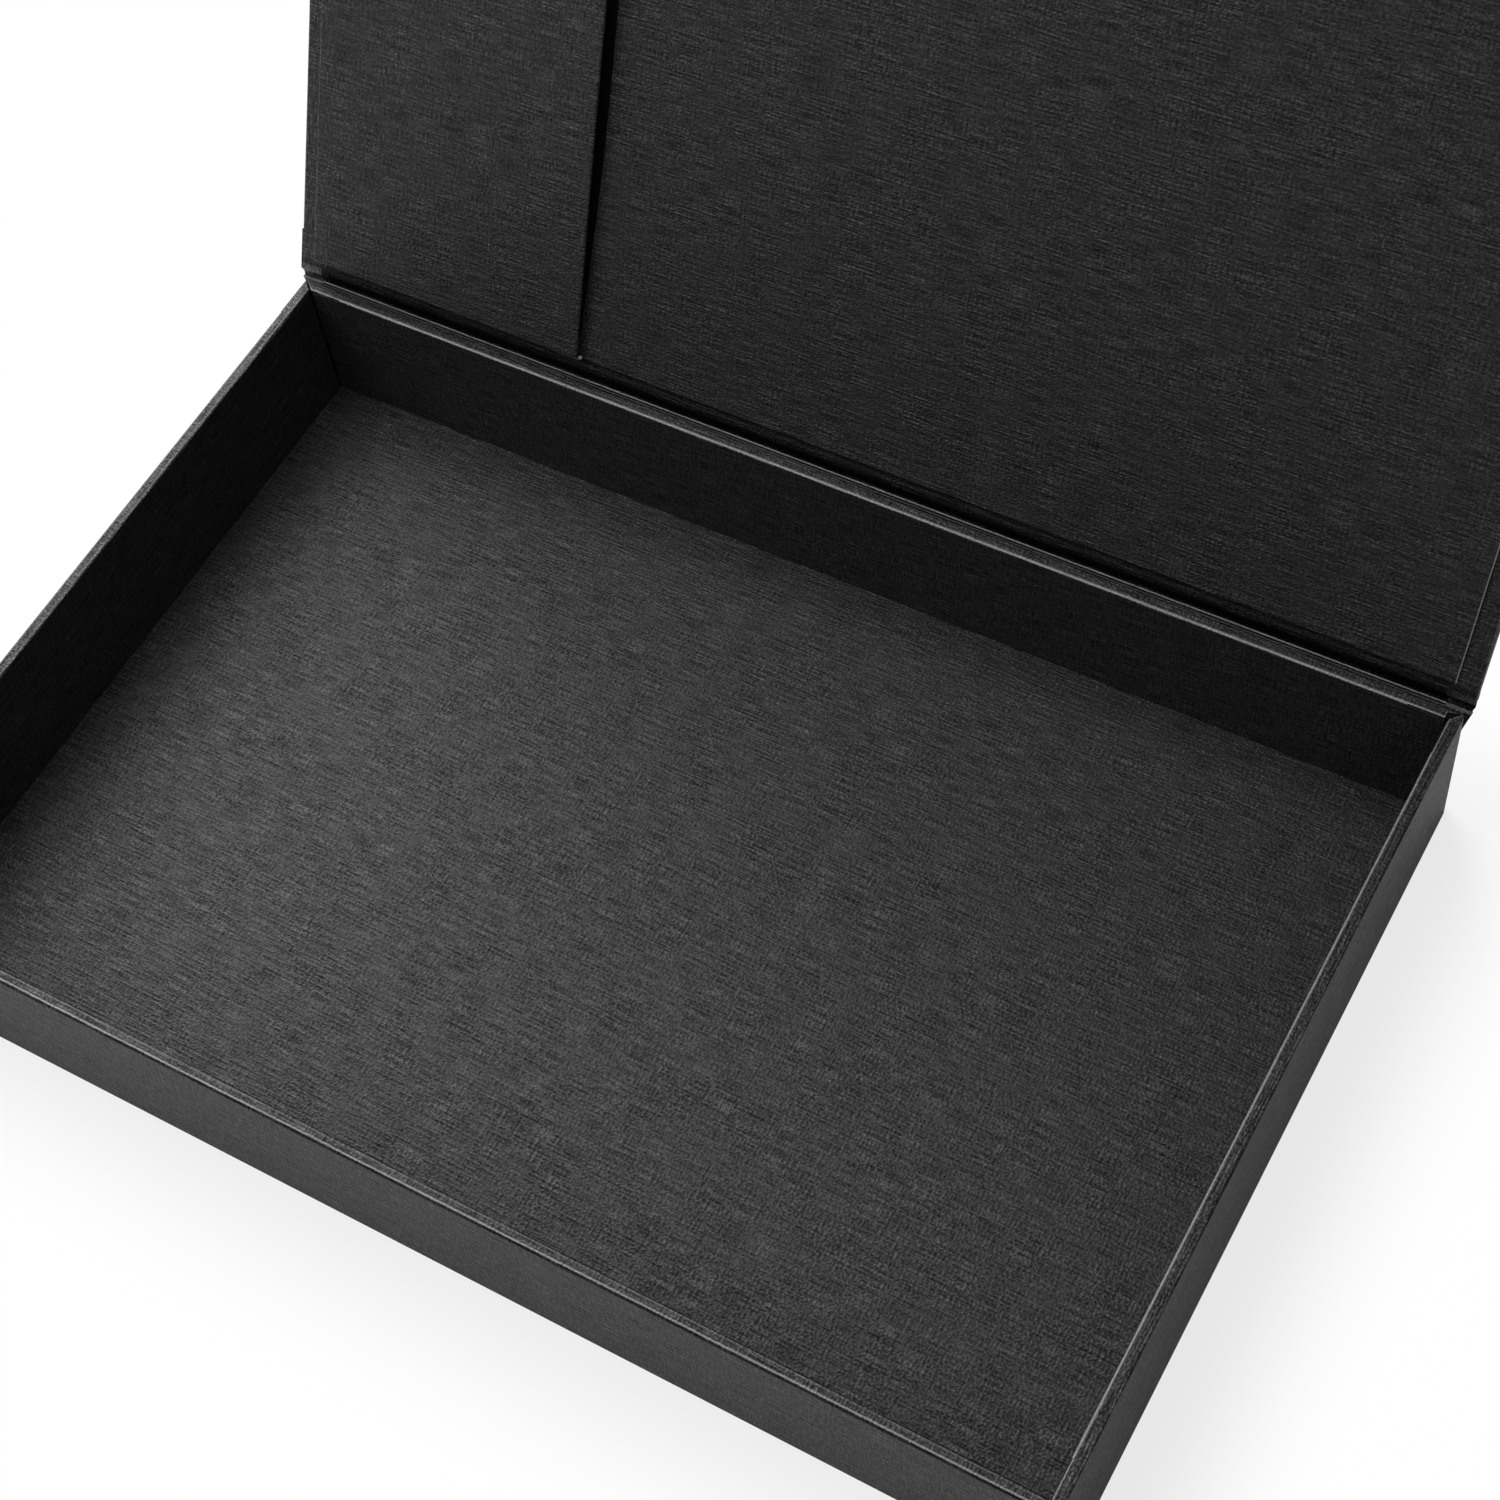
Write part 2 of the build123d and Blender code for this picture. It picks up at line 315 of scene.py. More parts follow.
def make_materials():
    """The materials, made once and found by their maker's names."""
    if WRAPPING in bpy.data.materials:
        return bpy.data.materials
    papers = settings()[0]
    # Embossed paper with a thin matt varnish: broad soft gloss along the raised threads
    linen_paper(WRAPPING, papers.wrapping, 0.50, cross=0.8)
    # The same paper where it lies flat under the tray, placed by the object's own axes
    linen_paper(BASE, papers.wrapping, 0.50, "Object")
    # Heavier embossed card without varnish: the threads show, the gloss is weaker
    linen_paper(LINING, papers.lining, 0.56)
    # Thin flexible paper, slightly duller
    # Its darker colour paints the shade of the grooves it lies in
    linen_paper(HINGING, papers.hinge, 0.58, gloss=0.25)
    # Near-black paper painted as shade: in the rim's mitre gaps and in the pocket's mouth, where
    # there is only shade
    fibrous_paper(PAINTED_SHADE, 2500.0, "#060607", papers.shadow,
                  {"Roughness": 0.9, "Specular IOR Level": 0.1})
    # The lining card's core, cut with a knife: matt and nearly white, with torn fibres
    fibrous_paper("Cut card core", 4000.0, "#D9D7D2", "#F2F1EE", {"Roughness": 0.85})
    # Solid grey board, pressed from waste paper: matt, with dark and light fibre flecks 0.6 mm long
    tree = new_material(BOARD)
    fleck = add_node(tree, "TexNoise", None, {
        "Vector": own_place(tree), "Scale": 1600.0, "Detail": 3.0}).outputs[0]
    shade = add_node(tree, "ValToRGB", None, {"Fac": fleck})
    shade.color_ramp.elements[0].color = linear("#6E6A64")
    shade.color_ramp.elements[0].position = 0.35
    shade.color_ramp.elements[1].color = linear("#A39E96")
    shade.color_ramp.elements[1].position = 0.65
    relief = add_node(tree, "Bump", None, {"Height": fleck, "Distance": 0.03 * MM}).outputs[0]
    principled(tree, {"Base Color": shade.outputs[0], "Roughness": 0.92, "Normal": relief})
    # Rolled and zinc-plated steel, and polished nickel over a pressed magnet
    for name, low, high, rough in ((STEEL, "#8B8D90", "#A2A4A6", 0.38),
                                   (NICKEL, "#B5AFA6", "#C8C3BA", 0.16)):
        tree = new_material(name)
        rolled = add_node(tree, "Mapping", None, {
            "Vector": own_place(tree), "Scale": (300, 4000, 4000)})
        streak = add_node(tree, "TexNoise", None, {
            "Vector": rolled.outputs[0], "Scale": 1.0, "Detail": 2.0}).outputs[0]
        gloss = add_node(tree, "MapRange", None, {
            "Value": streak, "To Min": rough - 0.06, "To Max": rough + 0.06}).outputs[0]
        principled(tree, {"Base Color": between(tree, streak, linear(low), linear(high)),
                          "Metallic": 1.0, "Roughness": gloss})
    return bpy.data.materials


# Shapes

def rounded_path(corners, closed=False, steps=5):
    """Points and fold shares of a path whose corners (a, b, radius, share) are rounded."""
    points, folds = [], []
    count = len(corners)
    for i, (a, b, radius, share) in enumerate(corners):
        here = Vector((a, b))
        if radius <= 0 or (not closed and i in (0, count - 1)):
            points.append(here)
            folds.append(share)
            continue
        before = Vector(corners[i - 1][:2])
        after = Vector(corners[(i + 1) % count][:2])
        into, out = (here - before).normalized(), (after - here).normalized()
        turn = math.atan2(into.x * out.y - into.y * out.x, into.dot(out))
        reach = radius * math.tan(abs(turn) / 2)
        start = here - into * reach
        side = math.copysign(1.0, turn)
        centre = start + Vector((-into.y, into.x)) * side * radius
        for k in range(steps + 1):
            angle = turn * k / steps
            arm = start - centre
            c, s = math.cos(angle), math.sin(angle)
            points.append(centre + Vector((arm.x * c - arm.y * s, arm.x * s + arm.y * c)))
            folds.append(share)
    return points, folds


def loop_lengths(points):
    """How far along a closed outline each of its points lies, and the whole length."""
    run = [0.0]
    for i in range(1, len(points) + 1):
        run.append(run[-1] + (points[i % len(points)] - points[i - 1]).length)
    return run


def thick_sheet(points, thickness):
    """A path and its parallel, one sheet's thickness to its right, as one closed loop."""
    other = []
    for i, here in enumerate(points):
        before = points[max(i - 1, 0)]
        after = points[min(i + 1, len(points) - 1)]
        way = (after - before).normalized()
        other.append(here + Vector((way.y, -way.x)) * thickness)
    return list(points) + other[::-1]


def finished_mesh(build, name):
    """The mesh of that name that was being built."""
    mesh = bpy.data.meshes.new(name)
    build.to_mesh(mesh)
    build.free()
    return mesh


def new_object(name, mesh, material, place=TRAY_PLACE):
    """Shades a mesh, gives it its material and puts it in the scene in a panel's frame."""
    mesh.polygons.foreach_set("use_smooth", [True] * len(mesh.polygons))
    mesh.set_sharp_from_angle(angle=math.radians(48))
    mesh.materials.append(make_materials()[material])
    piece = bpy.data.objects.new(name, mesh)
    bpy.context.scene.collection.objects.link(piece)
    piece.matrix_world = place
    # Large flat faces keep their own normals beside their narrow folds
    even = piece.modifiers.new("Even faces", "WEIGHTED_NORMAL")
    even.keep_sharp = True
    return piece


def swept_sheet(name, rows, laid, folds, closed):
    """Mesh through rows of points in millimetres, with each point's place on the flat sheet.

    Closed rows are loops, and the first and last of them are capped.
    """
    build = bmesh.new()
    layer = build.loops.layers.uv.new("UVMap")
    rub_and_light = build.verts.layers.float.new("fold")
    grid = []
    for row, row_folds in zip(rows, folds):
        verts = [build.verts.new([c * MM for c in point]) for point in row]
        for vert, share in zip(verts, row_folds):
            vert[rub_and_light] = share
        grid.append(verts)
    across = len(rows[0])
    for i in range(len(rows) - 1):
        for j in range(across if closed else across - 1):
            k = (j + 1) % across
            corners = ((i, j, j), (i, k, j + 1), (i + 1, k, j + 1), (i + 1, j, j))
            face = build.faces.new([grid[a][b] for a, b, _ in corners])
            for corner, (a, _, run) in zip(face.loops, corners):
                corner[layer].uv = [c * MM for c in laid[a][run]]
    if closed:
        for row, spots in ((grid[0], laid[0]), (grid[-1], laid[-1])):
            face = build.faces.new(row)
            for corner, spot in zip(face.loops, spots):
                corner[layer].uv = [c * MM for c in spot]
        bmesh.ops.recalc_face_normals(build, faces=build.faces)
    return finished_mesh(build, name)


def swept_strip(name, outline, folds, ends):
    """A closed outline in (y, z) swept along x between two ends, in millimetres."""
    stations = 24
    xs = [ends[0] + (ends[1] - ends[0]) * i / stations for i in range(stations + 1)]
    rows = [[(x, p.x, p.y) for p in outline] for x in xs]
    laid = [[(x, r) for r in loop_lengths(outline)] for x in xs]
    return swept_sheet(name, rows, laid, [folds] * len(xs), closed=True)


def wrapped_slab(name, low, high, radius, material, place=TRAY_PLACE, segments=4, edges=None):
    """A panel with rounded edges, its paper laid out flat from its large faces, in millimetres.

    edges gives the fold share of the upper edge and of the side face at -x, +x, -y and +y: above
    zero rubbed wear with a painted highlight, below zero painted shade.
    """
    build = bmesh.new()
    bmesh.ops.create_cube(build, size=1.0)
    low, high = Vector(low), Vector(high)
    for vert in build.verts:
        vert.co = Vector([low[i] + (vert.co[i] + 0.5) * (high[i] - low[i]) for i in range(3)])
    bmesh.ops.bevel(build, geom=build.edges[:], offset=radius, segments=segments,
                    profile=0.5, affect="EDGES")
    if edges:
        # A narrow border keeps the lighter edge, rubbed and with its painted highlight, off the
        # middle of the card
        edge_light_border = 0.15
        face = max(build.faces, key=lambda f: f.calc_area() * f.normal.z)
        bmesh.ops.inset_individual(build, faces=[face], thickness=edge_light_border)
    rub_and_light = build.loops.layers.float.new("fold")
    layer = build.loops.layers.uv.new("UVMap")
    border = radius * (1.02 if edges else 0.98)
    # Without given edges, each upper edge is a little lighter, as rubbed wear with a painted
    # highlight
    edges = edges or [(0.15, 0.0)] * 4
    # The lower face's paper is laid out beside the upper face's, clear of it
    beside = 400

    def reach(spot):
        return spot.x - low.x, high.x - spot.x, spot.y - low.y, high.y - spot.y

    for face in build.faces:
        middle = reach(face.calc_center_median())
        side = middle.index(min(middle))
        for corner in face.loops:
            if reach(corner.vert.co)[side] < border:
                upper = high.z - corner.vert.co.z < radius * 0.5
                corner[rub_and_light] = edges[side][0 if upper else 1]
        size = [abs(c) for c in face.normal]
        flat = size.index(max(size))
        for corner in face.loops:
            x, y, z = corner.vert.co
            if flat == 2:
                spot = (x, y if face.normal.z > 0 else y + beside)
            elif flat == 0:
                spot = (high.x + high.z - z if face.normal.x > 0 else low.x - high.z + z, y)
            else:
                spot = (x, high.y + high.z - z if face.normal.y > 0 else low.y - high.z + z)
            corner[layer].uv = [c * MM for c in spot]
    for vert in build.verts:
        vert.co *= MM
    return new_object(name, finished_mesh(build, name), material, place)


def wrapped_board(name, node, place, less=0.0):
    """The paper folded round a board, with its upper face lowered a little."""
    low, high = local_box(node, place)
    return wrapped_slab(
        name, (low.x - WRAP, low.y - WRAP, low.z - WRAP),
        (high.x + WRAP, high.y + WRAP, high.z + WRAP - less),
        settings()[1].fold_radius / MM, WRAPPING, place)


class BoxPieceOperator:
    """What the operators that make pieces share."""

    bl_options = {"REGISTER", "UNDO"}


# Fold shares of a rim fold, from the rim to the wall's face: above zero rubbed wear with a painted
# highlight, below zero painted shade, after the way the fold faces the light
RUB_HIGHLIGHT_THEN_SHADE = (0.8, 0.45, -0.8, -1.0, -1.0, -0.5, 0.0)
SHINING = (0.0, 0.3, 0.8, 0.9, 0.5, 0.0, 0.0)
GLEAMING = (0.1, 0.6, 1.0, 0.7, 0.0, 0.0, 0.0)
SHADED_FOLD = (0.0, -0.1, -0.6, -1.0, -1.0, -1.0, -1.0)
SOFT = (0.1, 0.2, 0.2, 0.05, 0.0, 0.0, 0.0)
TURNED = (0.1, 0.3, -0.3, -1.0, -1.0, -1.0, -1.0)


class INVITATION_OT_tray_walls(BoxPieceOperator, bpy.types.Operator):
    """Fold each wall's paper over its board, with rounded corners and open rim mitres"""

    bl_idname = "invitation.tray_walls"
    bl_label = "Tray walls"

    def execute(self, context):
        folds = settings()[1]
        radius = folds.fold_radius / MM
        gap = folds.mitre_gap / MM
        # Each wall's turn, its outer and inner fold, and the gaps (outer, inner) at its two ends;
        # the back wall's strip is cut off square at the right, where the right wall's is mitred
        # Each fold's table paints highlight and shade after the way that fold faces the lamps
        walls = {
            "front": (0, RUB_HIGHLIGHT_THEN_SHADE, TURNED, (0.1, gap), (0.1, gap)),
            "right": (90, SHADED_FOLD, SHINING, (0.1, gap), (0.12, 0.12)),
            "back": (180, SHADED_FOLD, GLEAMING, (WALL + 0.5, 0.5), (0.4, gap)),
            "left": (270, SOFT, SOFT, (0.35, 0.8 * gap), (0.1, gap))}
        for side, (angle, outer, inner, first, last) in walls.items():
            crosswise = angle % 180 == 0
            along, out = (HALF_WIDTH, HALF_DEPTH) if crosswise else (HALF_DEPTH, HALF_WIDTH)
            below = RIM_HEIGHT - radius - 0.2
            flat = radius + 0.25
            # The folds with painted shade are pressed sharper than the others, and a painted dark
            # line runs along the face just below them
            crease, dark = (radius * 0.5, -0.9) if outer is SHADED_FOLD else (radius, 0)
            profile, rub_and_light = rounded_path([
                (WRAP, 0.0, 0, 0), (0.0, 0.0, 0.12, 0), (0.0, below - 0.25, 0, 0),
                (0.0, below + 0.05, 0, dark),
                (0.0, RIM_HEIGHT, crease, 0), (flat, RIM_HEIGHT, 0, 0),
                (WALL - flat, RIM_HEIGHT, 0, 0), (WALL, RIM_HEIGHT, radius, 0),
                (WALL, below, 0, 0), (WALL, WRAP, 0, 0), (WRAP, WRAP, 0, 0)], closed=True, steps=6)
            # Points on a rim fold take their share by their angle round it, in 15-degree steps:
            # painted highlight and shade as that part faces the light
            for i, (d, z) in enumerate(profile):
                size, shares = (crease, outer) if d < WALL / 2 else (radius, inner)
                inward = size - min(d, WALL - d)
                if z > below + 0.1 and inward > -1e-6:
                    turn = math.atan2(max(inward, 0.0), z - RIM_HEIGHT + size)
                    rub_and_light[i] = shares[min(round(math.degrees(turn) / 15), 6)]
            rows, laid, shares = self.stations(profile, rub_and_light, along, radius, first, last)
            rows = [[(t, d - out, z) for t, d, z in row] for row in rows]
            name = side + "_wall_paper"
            mesh = swept_sheet(name, rows, laid, shares, closed=True)
            mesh.transform(Matrix.Rotation(math.radians(angle), 4, "Z"))
            piece = new_object(name, mesh, WRAPPING)
            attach(piece, "tray")
            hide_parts(side + "_wall_cover")
        return {"FINISHED"}

    def stations(self, profile, rub_and_light, along, radius, first, last):
        """Rows of a wall between its mitres, with the outer corner's half arc at each end."""
        steps, lead, count = 5, 0.3, 24
        parts = []
        for sign, (wide, narrow) in ((-1, first), (1, last)):
            rows = []
            for k in range(steps + 1):
                row, share = [], []
                angle = math.radians(45) * k / steps
                for (d, z), rub_and_light_share in zip(profile, rub_and_light):
                    if d < radius:
                        t = along - radius + (radius - d) * math.sin(angle)
                        place = radius - (radius - d) * math.cos(angle)
                        # The rounded outer corner below the rim is drawn a little lighter
                        rub_and_light_share = max(rub_and_light_share, 0.35 if k > 1 and z < RIM_HEIGHT - radius else 0.0)
                    else:
                        stop = along - d - wide - (narrow - wide) * d / WALL
                        t, place = stop - lead * (1 - k / steps), d
                        # The rim at the mitred end gets a painted highlight
                        rub_and_light_share = max(rub_and_light_share, 0.5) if k > steps - 3 and z > RIM_HEIGHT - 0.1 else rub_and_light_share
                    row.append((sign * t, place, z))
                    share.append(rub_and_light_share)
                rows.append((row, share))
            parts.append(rows)
        rows = [row for row, _ in reversed(parts[0])]
        shares = [share for _, share in reversed(parts[0])]
        low, high = parts[0][0][0], parts[1][0][0]
        for k in range(1, count):
            rows.append([(a[0] + (b[0] - a[0]) * k / count, a[1], a[2])
                         for a, b in zip(low, high)])
            shares.append(rub_and_light)
        rows += [row for row, _ in parts[1]]
        shares += [share for _, share in parts[1]]
        run = loop_lengths(profile)
        laid = [[(t, r) for r, t in zip(run, [point[0] for point in row] + [row[0][0]])]
                for row in rows]
        return rows, laid, shares


class INVITATION_OT_corner_papers(BoxPieceOperator, bpy.types.Operator):
    """Put near-black paper over the board's corners, under the rim mitres, as painted shade in the
    mitre gaps
    """

    bl_idname = "invitation.corner_papers"
    bl_label = "Corner papers"

    def execute(self, context):
        build = bmesh.new()
        skin, leg = 0.1, 9.0
        near, far = skin, WALL - skin
        for sx in (-1, 1):
            for sy in (-1, 1):
                plan = [(near, near), (leg, near), (leg, far), (far, far), (far, leg),
                        (near, leg)]
                low = [build.verts.new((sx * (HALF_WIDTH - a) * MM, sy * (HALF_DEPTH - b) * MM,
                                        (WRAP + 0.02) * MM)) for a, b in plan]
                face = build.faces.new(low)
                raised = bmesh.ops.extrude_face_region(build, geom=[face])
                for vert in raised["geom"]:
                    if isinstance(vert, bmesh.types.BMVert):
                        vert.co.z = (RIM_HEIGHT - skin) * MM
        bmesh.ops.recalc_face_normals(build, faces=build.faces)
        piece = new_object("corner_papers", finished_mesh(build, "corner_papers"), PAINTED_SHADE)
        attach(piece, "tray")
        return {"FINISHED"}


class INVITATION_OT_tray_floor(BoxPieceOperator, bpy.types.Operator):
    """Lay the floor card on the walls' turned-in paper"""

    bl_idname = "invitation.tray_floor"
    bl_label = "Tray floor"

    def execute(self, context):
        low = (FLOOR_LOW.x, FLOOR_LOW.y, FLOOR_LOW.z + 0.03)
        # The card's upper edges are a little lighter, as rubbed wear with a painted highlight, and
        # its side faces carry painted shade
        card = wrapped_slab("floor_card", low, FLOOR_HIGH, settings()[1].card_radius / MM, LINING,
                            edges=[(0.1, -0.6)] * 4)
        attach(card, "tray")
        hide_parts("floor_lining")
        # The walls' paper is turned in on the floor board, and shows round the card
        inner_x, inner_y = HALF_WIDTH - WALL, HALF_DEPTH - WALL
        build = bmesh.new()
        layer = build.loops.layers.uv.new("UVMap")
        lap = 9.0
        height = FLOOR_LOW.z + 0.02
        outer = [(-inner_x, -inner_y), (inner_x, -inner_y), (inner_x, inner_y), (-inner_x, inner_y)]
        inner = [(x - math.copysign(lap, x), y - math.copysign(lap, y)) for x, y in outer]
        for i in range(4):
            k = (i + 1) % 4
            corners = [outer[i], outer[k], inner[k], inner[i]]
            face = build.faces.new(
                [build.verts.new((x * MM, y * MM, height * MM)) for x, y in corners])
            for corner, (x, y) in zip(face.loops, corners):
                corner[layer].uv = (x * MM, y * MM)
        turned = new_object("floor_turn_ins", finished_mesh(build, "floor_turn_ins"), WRAPPING)
        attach(turned, "tray")
        return {"FINISHED"}


def on_lid(y, z):
    """A point of the lid's own frame as (y, z) from the lid's axis, in millimetres."""
    c, s = math.cos(LID_LEAN), math.sin(LID_LEAN)
    return y * s - z * c, y * c + z * s


def from_axis(points):
    """Points given from the lid's axis, in the row frame, in millimetres."""
    return [Vector((p.x + LID_AXIS.y, p.y + LID_AXIS.z)) for p in points]


class INVITATION_OT_lid_hinge(BoxPieceOperator, bpy.types.Operator):
    """Lead the hinge papers from the spine through the groove and onto the lid"""

    bl_idname = "invitation.lid_hinge"
    bl_label = "Spine and lid hinge"

    def execute(self, context):
        low, high = local_box("spine_cover", TRAY_PLACE)
        inset, rounding = 0.4, 0.22
        spine = wrapped_slab("spine_paper", (low.x + inset, low.y - 0.1, 0.0),
                             (high.x - inset, high.y - 0.02, high.z - 0.2), rounding, WRAPPING)
        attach(spine, "tray")
        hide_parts("spine_cover", "spine_board")
        reach = local_box("lid_lining", LID_PLACE)[1].x - 0.8
        side = local_box("lid_board", LID_PLACE)[1].x + 0.15
        # Both papers start down the spine, and lie on the lid's face at their lifts to its end
        # Each corner's last number is its fold share, painting light and shade: a highlight on the
        # spine's top fold, near black down the spine, in the groove and under the lid card's edge
        spine_foot = [(-0.66, -8.0, 0, -0.8), (-0.66, -1.3, 0, -0.8)]
        spine_fold, glued_end, strip_lift, turned_lift = -0.93, 9.0, 0.88, 0.93
        # The inner paper goes over the spine's top edge, down the groove and round the lid's edge
        inner = [
            *spine_foot, (-0.62, spine_fold, 0.15, -0.7), (-0.38, spine_fold, 0, 0.9),
            (-0.1, spine_fold, 0.2, 1.0), (-0.02, -1.3, 0, -1), (0.0, -2.75, 0.3, -1),
            (1.4, -2.65, 0.5, -1), (*on_lid(0.95, -1.0), 0.4, -1),
            (*on_lid(0.95, strip_lift), 0.7, -1)]
        inner += [(*on_lid(up, strip_lift), 0, share) for up, share in (
            (2.0, -0.7), (2.45, 0.03), (2.8, 0.0), (3.1, -0.5), (3.4, -1), (glued_end, -1))]
        self.sheet("hinge_strip", inner, HINGE_PAPER, (-reach, reach), HINGING, "hinge_linen",
                   ("spine_hinge_strip", "lid_hinge_strip"))
        # At both ends the cover's paper is turned in over it: stretched straight from the tray to
        # the lid at the left, pushed a little way into the groove at the right
        # Their shares likewise paint a highlight on the folds, and shade in the groove and under
        # the lid card's edge
        bridge = [
            (-0.28, -0.95, 0.15, 0.4), (-0.15, -1.12, 0.06, -1), (0.0, -0.75, 0.12, 0.2),
            (0.04, -0.3, 0.1, -0.8), (-0.1, 0.3, 0.3, 0.1)]
        valley = [
            (-0.08, -0.95, 0.28, 0.5), (0.08, -1.45, 0.12, -1), (0.85, -1.35, 0.3, -1),
            (*on_lid(0.9, -0.9), 0.3, -0.6)]
        for name, ends, light, middle in (
                ("hinge_turn_in_left", (-side, -reach + 0.2), 0.2, bridge),
                ("hinge_turn_in_right", (reach - 0.2, side), 0.0, valley)):
            turned = [*spine_foot, (-0.66, -0.95, 0.28, 0.3), *middle,
                      (*on_lid(0.9, turned_lift), 0.3, light)]
            turned += [(*on_lid(up, turned_lift), 0, share) for up, share in (
                (2.0, light / 2), (2.35, -0.9), (3.2, -0.9), (3.6, 0), (glued_end, 0))]
            self.sheet(name, turned, HINGE_PAPER, ends, WRAPPING, "outer_linen", ())
        # The outer sheet runs up the spine, bulges behind the groove and meets the lid
        outer = [
            (0.0, 0.1 - LID_AXIS.z, 0, 0), (0.0, -4.0, 0.5, 0), (1.75, -3.2, 0.8, 0),
            (1.75, 0.2, 0.5, 0), (*on_lid(2.2, -1.37), 0, 0)]
        self.sheet("hinge_outer_paper", outer, WRAP, (-side, side), WRAPPING, "outer_linen",
                   ("hinge_fold",))
        return {"FINISHED"}

    def sheet(self, name, corners, thickness, ends, material, slot, nodes):
        """One sheet that bends between the tray and the lid."""
        path, folds = rounded_path(corners)
        outline = from_axis(thick_sheet(path, thickness))
        mesh = swept_strip(name, outline, folds + folds[::-1], ends)
        # The lid overhangs the tray a little, and the paper is cut narrower down the spine
        taper, inset, wider = 4.0, 0.5, 1.6
        for vert in mesh.vertices:
            share = min(max((vert.co.z / MM - RIM_HEIGHT + taper) / taper, 0.0), 1.0)
            most = (HALF_WIDTH - inset + wider * share * share) * MM
            vert.co.x = min(max(vert.co.x, -most), most)
        piece = new_object(name, mesh, material)
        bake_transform(piece)
        if nodes:
            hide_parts(*nodes)


class INVITATION_OT_lid(BoxPieceOperator, bpy.types.Operator):
    """Wrap the lid board and lay the lining card on it"""

    bl_idname = "invitation.lid"
    bl_label = "Lid"

    def execute(self, context):
        cover = wrapped_board("lid_paper", "lid_board", LID_PLACE, less=0.02)
        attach(cover, "lid")
        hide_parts("lid_cover")
        low, high = local_box("lid_lining", LID_PLACE)
        # The card's left and right upper edges get a painted highlight, and every side face painted
        # shade, as a dark line round the card
        card = wrapped_slab(
            "lid_card", low, high, settings()[1].card_radius / MM, LINING, LID_PLACE,
            edges=[(0.9, -1.0), (0.8, -1.0), (0.0, -1.0), (0.1, -1.0)])
        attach(card, "lid")
        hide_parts("lid_lining")
        return {"FINISHED"}


